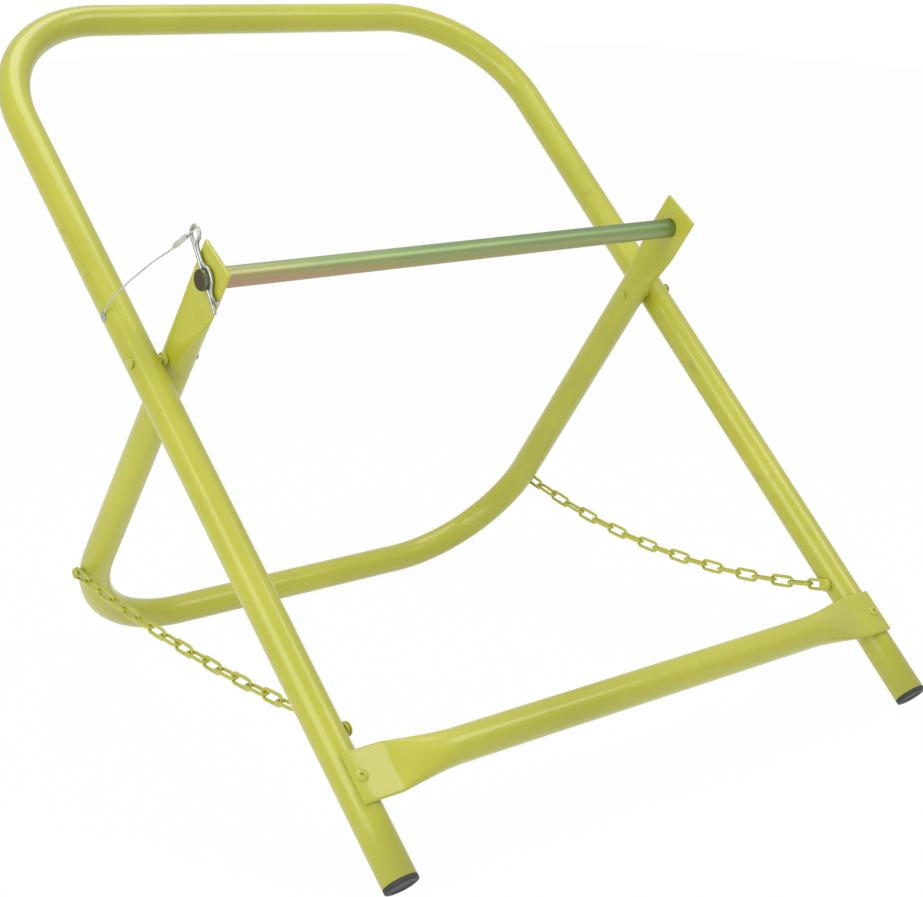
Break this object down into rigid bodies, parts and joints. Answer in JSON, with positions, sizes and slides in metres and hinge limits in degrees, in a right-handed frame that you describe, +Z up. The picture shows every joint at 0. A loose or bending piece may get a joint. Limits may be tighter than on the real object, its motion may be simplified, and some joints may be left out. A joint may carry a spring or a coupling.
{
  "type": "folding reel stand",
  "caption": "Folding X-frame stand of bent painted tube that carries wire and cable reels on a removable rod, held open by two short chains.",
  "frame": {"origin": "on the floor, under the middle of the bounding box", "axes": "+X along the reel rod towards its plain right end, +Y towards the rear floor bar and the handle, -Y towards the black foot caps, +Z up"},
  "size_m": [0.5488, 0.5999, 0.5354],
  "materials": {
    "paint": "semi-gloss yellow-green paint",
    "cap": "moulded black",
    "rod_plating": "yellow zinc plating with green and pink tints",
    "zinc": "bright zinc plating",
    "wire": "thin bright wire with a crimped sleeve"
  },
  "bodies": {
    "handle": {"handle_frame": "paint", "front_brace": "paint", "foot_cap_left": "cap", "foot_cap_right": "cap", "pivot_rivet_left": "paint", "pivot_rivet_right": "paint", "pivot_washer_left": "paint", "pivot_washer_right": "paint", "brace_rivet_left": "paint", "brace_rivet_right": "paint", "chain_bolt_left": "paint", "chain_bolt_right": "paint", "lanyard_rivet": "zinc", "lanyard": "wire"},
    "support": {"support_frame": "paint", "chain_screw_left": "paint", "chain_screw_right": "paint"},
    "rod": {"axle_rod": "rod_plating"},
    "pin": {"hitch_pin": "zinc", "lanyard_ferrule": "wire"},
    "chain_left_01": {"chain_left_01": "paint"},
    "chain_left_02": {"chain_left_02": "paint"},
    "chain_left_03": {"chain_left_03": "paint"},
    "chain_left_04": {"chain_left_04": "paint"},
    "chain_left_05": {"chain_left_05": "paint"},
    "chain_left_06": {"chain_left_06": "paint"},
    "chain_left_07": {"chain_left_07": "paint"},
    "chain_left_08": {"chain_left_08": "paint"},
    "chain_left_09": {"chain_left_09": "paint"},
    "chain_left_10": {"chain_left_10": "paint"},
    "chain_left_11": {"chain_left_11": "paint"},
    "chain_left_12": {"chain_left_12": "paint"},
    "chain_left_13": {"chain_left_13": "paint"},
    "chain_left_14": {"chain_left_14": "paint"},
    "chain_left_15": {"chain_left_15": "paint"},
    "chain_left_16": {"chain_left_16": "paint"},
    "chain_left_17": {"chain_left_17": "paint"},
    "chain_left_18": {"chain_left_18": "paint"},
    "chain_left_19": {"chain_left_19": "paint"},
    "chain_right_01": {"chain_right_01": "paint"},
    "chain_right_02": {"chain_right_02": "paint"},
    "chain_right_03": {"chain_right_03": "paint"},
    "chain_right_04": {"chain_right_04": "paint"},
    "chain_right_05": {"chain_right_05": "paint"},
    "chain_right_06": {"chain_right_06": "paint"},
    "chain_right_07": {"chain_right_07": "paint"},
    "chain_right_08": {"chain_right_08": "paint"},
    "chain_right_09": {"chain_right_09": "paint"},
    "chain_right_10": {"chain_right_10": "paint"},
    "chain_right_11": {"chain_right_11": "paint"},
    "chain_right_12": {"chain_right_12": "paint"},
    "chain_right_13": {"chain_right_13": "paint"},
    "chain_right_14": {"chain_right_14": "paint"},
    "chain_right_15": {"chain_right_15": "paint"},
    "chain_right_16": {"chain_right_16": "paint"},
    "chain_right_17": {"chain_right_17": "paint"},
    "chain_right_18": {"chain_right_18": "paint"},
    "chain_right_19": {"chain_right_19": "paint"}
  },
  "joints": [
    {"name": "fold", "type": "hinge", "parent": "handle", "child": "support", "pos_m": [0, 0.02299, 0.29506], "axis": [1, 0, 0], "range_deg": [-54, 0], "deforming": ["lanyard"]},
    {"name": "rod_turn", "type": "hinge", "parent": "support", "child": "rod", "pos_m": [0, -0.01975, 0.35912], "axis": [1, 0, 0], "range_deg": [-25, 25]},
    {"name": "pin_pull", "type": "slide", "parent": "rod", "child": "pin", "axis": [0, 0.5, 0.866], "range_m": [0, 0.045], "deforming": ["hitch_pin"]},
    {"name": "chain_left_01_swing", "type": "hinge", "parent": "handle", "child": "chain_left_01", "pos_m": [-0.2454, -0.20724, 0.08443], "axis": [1, 0, 0], "range_deg": [-73.77, 2]},
    {"name": "chain_left_02_slip", "type": "slide", "parent": "chain_left_01", "child": "chain_left_02", "axis": [0, 0.9945, -0.1045], "range_m": [-0.00808, 0.0003]},
    {"name": "chain_left_03_swing", "type": "hinge", "parent": "chain_left_02", "child": "chain_left_03", "pos_m": [-0.2454, -0.16808, 0.0806], "axis": [1, 0, 0], "range_deg": [-43.76, 2]},
    {"name": "chain_left_04_slip", "type": "slide", "parent": "chain_left_03", "child": "chain_left_04", "axis": [0, 0.9968, -0.0801], "range_m": [-0.01392, 0.0003]},
    {"name": "chain_left_05_swing", "type": "hinge", "parent": "chain_left_04", "child": "chain_left_05", "pos_m": [-0.2454, -0.12788, 0.07766], "axis": [1, 0, 0], "range_deg": [-2, 71.41]},
    {"name": "chain_left_06_slip", "type": "slide", "parent": "chain_left_05", "child": "chain_left_06", "axis": [0, 0.9985, -0.0556], "range_m": [-0.01378, 0.0003]},
    {"name": "chain_left_07_swing", "type": "hinge", "parent": "chain_left_06", "child": "chain_left_07", "pos_m": [-0.2454, -0.08763, 0.0757], "axis": [1, 0, 0], "range_deg": [-2, 76.55]},
    {"name": "chain_left_08_slip", "type": "slide", "parent": "chain_left_07", "child": "chain_left_08", "axis": [0, 0.9995, -0.0311], "range_m": [-0.01411, 0.0003]},
    {"name": "chain_left_09_swing", "type": "hinge", "parent": "chain_left_08", "child": "chain_left_09", "pos_m": [-0.2454, -0.04734, 0.07473], "axis": [1, 0, 0], "range_deg": [-2, 26.85]},
    {"name": "chain_left_10_slip", "type": "slide", "parent": "chain_left_09", "child": "chain_left_10", "axis": [0, 1, -0.0066], "range_m": [-0.00662, 0.0003]},
    {"name": "chain_left_19_swing", "type": "hinge", "parent": "support", "child": "chain_left_19", "pos_m": [-0.2454, 0.16984, 0.08658], "axis": [1, 0, 0], "range_deg": [-2, 79.07]},
    {"name": "chain_left_18_slip", "type": "slide", "parent": "chain_left_19", "child": "chain_left_18", "axis": [0, -0.9933, -0.1158], "range_m": [-0.00316, 0.0003]},
    {"name": "chain_left_17_swing", "type": "hinge", "parent": "chain_left_18", "child": "chain_left_17", "pos_m": [-0.2454, 0.13072, 0.08231], "axis": [1, 0, 0], "range_deg": [-2, 21.33]},
    {"name": "chain_left_16_slip", "type": "slide", "parent": "chain_left_17", "child": "chain_left_16", "axis": [0, -0.9958, -0.0914], "range_m": [-0.01383, 0.0003]},
    {"name": "chain_left_15_swing", "type": "hinge", "parent": "chain_left_16", "child": "chain_left_15", "pos_m": [-0.2454, 0.09057, 0.07891], "axis": [1, 0, 0], "range_deg": [-58.29, 2]},
    {"name": "chain_left_14_slip", "type": "slide", "parent": "chain_left_15", "child": "chain_left_14", "axis": [0, -0.9978, -0.067], "range_m": [-0.01362, 0.0003]},
    {"name": "chain_left_13_swing", "type": "hinge", "parent": "chain_left_14", "child": "chain_left_13", "pos_m": [-0.2454, 0.05034, 0.07649], "axis": [1, 0, 0], "range_deg": [-82.01, 2]},
    {"name": "chain_left_12_slip", "type": "slide", "parent": "chain_left_13", "child": "chain_left_12", "axis": [0, -0.9991, -0.0425], "range_m": [-0.01378, 0.0003]},
    {"name": "chain_left_11_swing", "type": "hinge", "parent": "chain_left_12", "child": "chain_left_11", "pos_m": [-0.2454, 0.01006, 0.07506], "axis": [1, 0, 0], "range_deg": [-2, 82.01]},
    {"name": "chain_right_01_swing", "type": "hinge", "parent": "handle", "child": "chain_right_01", "pos_m": [0.2454, -0.20724, 0.08443], "axis": [1, 0, 0], "range_deg": [-60.44, 2]},
    {"name": "chain_right_02_slip", "type": "slide", "parent": "chain_right_01", "child": "chain_right_02", "axis": [0, 0.9737, -0.2278], "range_m": [-0.00818, 0.0003]},
    {"name": "chain_right_03_swing", "type": "hinge", "parent": "chain_right_02", "child": "chain_right_03", "pos_m": [0.2454, -0.1685, 0.07599], "axis": [1, 0, 0], "range_deg": [-56.98, 2]},
    {"name": "chain_right_04_slip", "type": "slide", "parent": "chain_right_03", "child": "chain_right_04", "axis": [0, 0.9843, -0.1766], "range_m": [-0.0133, 0.0003]},
    {"name": "chain_right_05_swing", "type": "hinge", "parent": "chain_right_04", "child": "chain_right_05", "pos_m": [0.2454, -0.12844, 0.06942], "axis": [1, 0, 0], "range_deg": [-2, 75.33]},
    {"name": "chain_right_06_slip", "type": "slide", "parent": "chain_right_05", "child": "chain_right_06", "axis": [0, 0.9922, -0.1248], "range_m": [-0.0133, 0.0003]},
    {"name": "chain_right_07_swing", "type": "hinge", "parent": "chain_right_06", "child": "chain_right_07", "pos_m": [0.2454, -0.08809, 0.06496], "axis": [1, 0, 0], "range_deg": [-2, 75.51]},
    {"name": "chain_right_08_slip", "type": "slide", "parent": "chain_right_07", "child": "chain_right_08", "axis": [0, 0.9973, -0.0728], "range_m": [-0.01338, 0.0003]},
    {"name": "chain_right_09_swing", "type": "hinge", "parent": "chain_right_08", "child": "chain_right_09", "pos_m": [0.2454, -0.04756, 0.06261], "axis": [1, 0, 0], "range_deg": [-2, 24.72]},
    {"name": "chain_right_10_slip", "type": "slide", "parent": "chain_right_09", "child": "chain_right_10", "axis": [0, 0.9998, -0.0205], "range_m": [-0.00491, 0.0003]},
    {"name": "chain_right_19_swing", "type": "hinge", "parent": "support", "child": "chain_right_19", "pos_m": [0.2454, 0.16984, 0.08658], "axis": [1, 0, 0], "range_deg": [-2, 71.65]},
    {"name": "chain_right_18_slip", "type": "slide", "parent": "chain_right_19", "child": "chain_right_18", "axis": [0, -0.971, -0.2389], "range_m": [-0.00242, 0.0003]},
    {"name": "chain_right_17_swing", "type": "hinge", "parent": "chain_right_18", "child": "chain_right_17", "pos_m": [0.2454, 0.1312, 0.0777], "axis": [1, 0, 0], "range_deg": [-2, 20.34]},
    {"name": "chain_right_16_slip", "type": "slide", "parent": "chain_right_17", "child": "chain_right_16", "axis": [0, -0.9822, -0.1878], "range_m": [-0.01336, 0.0003]},
    {"name": "chain_right_15_swing", "type": "hinge", "parent": "chain_right_16", "child": "chain_right_15", "pos_m": [0.2454, 0.09122, 0.07068], "axis": [1, 0, 0], "range_deg": [-56.99, 2]},
    {"name": "chain_right_14_slip", "type": "slide", "parent": "chain_right_15", "child": "chain_right_14", "axis": [0, -0.9907, -0.1361], "range_m": [-0.01323, 0.0003]},
    {"name": "chain_right_13_swing", "type": "hinge", "parent": "chain_right_14", "child": "chain_right_13", "pos_m": [0.2454, 0.05092, 0.06575], "axis": [1, 0, 0], "range_deg": [-79.14, 2]},
    {"name": "chain_right_12_slip", "type": "slide", "parent": "chain_right_13", "child": "chain_right_12", "axis": [0, -0.9965, -0.0841], "range_m": [-0.01325, 0.0003]},
    {"name": "chain_right_11_swing", "type": "hinge", "parent": "chain_right_12", "child": "chain_right_11", "pos_m": [0.2454, 0.01042, 0.06294], "axis": [1, 0, 0], "range_deg": [-2, 79.14]}
  ],
  "couplings": [
    {"joint": "chain_left_01_swing", "follows": "fold", "ratio": 1.329},
    {"joint": "chain_left_02_slip", "follows": "fold", "m_per_rad": 0.008253},
    {"joint": "chain_left_03_swing", "follows": "fold", "ratio": 0.7733},
    {"joint": "chain_left_04_slip", "follows": "fold", "m_per_rad": 0.014446},
    {"joint": "chain_left_05_swing", "follows": "fold", "ratio": -1.2853},
    {"joint": "chain_left_06_slip", "follows": "fold", "m_per_rad": 0.014305},
    {"joint": "chain_left_07_swing", "follows": "fold", "ratio": -1.3805},
    {"joint": "chain_left_08_slip", "follows": "fold", "m_per_rad": 0.014652},
    {"joint": "chain_left_09_swing", "follows": "fold", "ratio": -0.4602},
    {"joint": "chain_left_10_slip", "follows": "fold", "m_per_rad": 0.006707},
    {"joint": "chain_left_19_swing", "follows": "fold", "ratio": -1.4273},
    {"joint": "chain_left_18_slip", "follows": "fold", "m_per_rad": 0.003033},
    {"joint": "chain_left_17_swing", "follows": "fold", "ratio": -0.3579},
    {"joint": "chain_left_16_slip", "follows": "fold", "m_per_rad": 0.014359},
    {"joint": "chain_left_15_swing", "follows": "fold", "ratio": 1.0424},
    {"joint": "chain_left_14_slip", "follows": "fold", "m_per_rad": 0.014128},
    {"joint": "chain_left_13_swing", "follows": "fold", "ratio": 1.4816},
    {"joint": "chain_left_12_slip", "follows": "fold", "m_per_rad": 0.014301},
    {"joint": "chain_left_11_swing", "follows": "fold", "ratio": -1.4816},
    {"joint": "chain_right_01_swing", "follows": "fold", "ratio": 1.0823},
    {"joint": "chain_right_02_slip", "follows": "fold", "m_per_rad": 0.00836},
    {"joint": "chain_right_03_swing", "follows": "fold", "ratio": 1.0182},
    {"joint": "chain_right_04_slip", "follows": "fold", "m_per_rad": 0.013797},
    {"joint": "chain_right_05_swing", "follows": "fold", "ratio": -1.3579},
    {"joint": "chain_right_06_slip", "follows": "fold", "m_per_rad": 0.013796},
    {"joint": "chain_right_07_swing", "follows": "fold", "ratio": -1.3613},
    {"joint": "chain_right_08_slip", "follows": "fold", "m_per_rad": 0.013875},
    {"joint": "chain_right_09_swing", "follows": "fold", "ratio": -0.4208},
    {"joint": "chain_right_10_slip", "follows": "fold", "m_per_rad": 0.004895},
    {"joint": "chain_right_19_swing", "follows": "fold", "ratio": -1.2898},
    {"joint": "chain_right_18_slip", "follows": "fold", "m_per_rad": 0.002251},
    {"joint": "chain_right_17_swing", "follows": "fold", "ratio": -0.3397},
    {"joint": "chain_right_16_slip", "follows": "fold", "m_per_rad": 0.013852},
    {"joint": "chain_right_15_swing", "follows": "fold", "ratio": 1.0184},
    {"joint": "chain_right_14_slip", "follows": "fold", "m_per_rad": 0.013716},
    {"joint": "chain_right_13_swing", "follows": "fold", "ratio": 1.4286},
    {"joint": "chain_right_12_slip", "follows": "fold", "m_per_rad": 0.013736},
    {"joint": "chain_right_11_swing", "follows": "fold", "ratio": -1.4286}
  ]
}
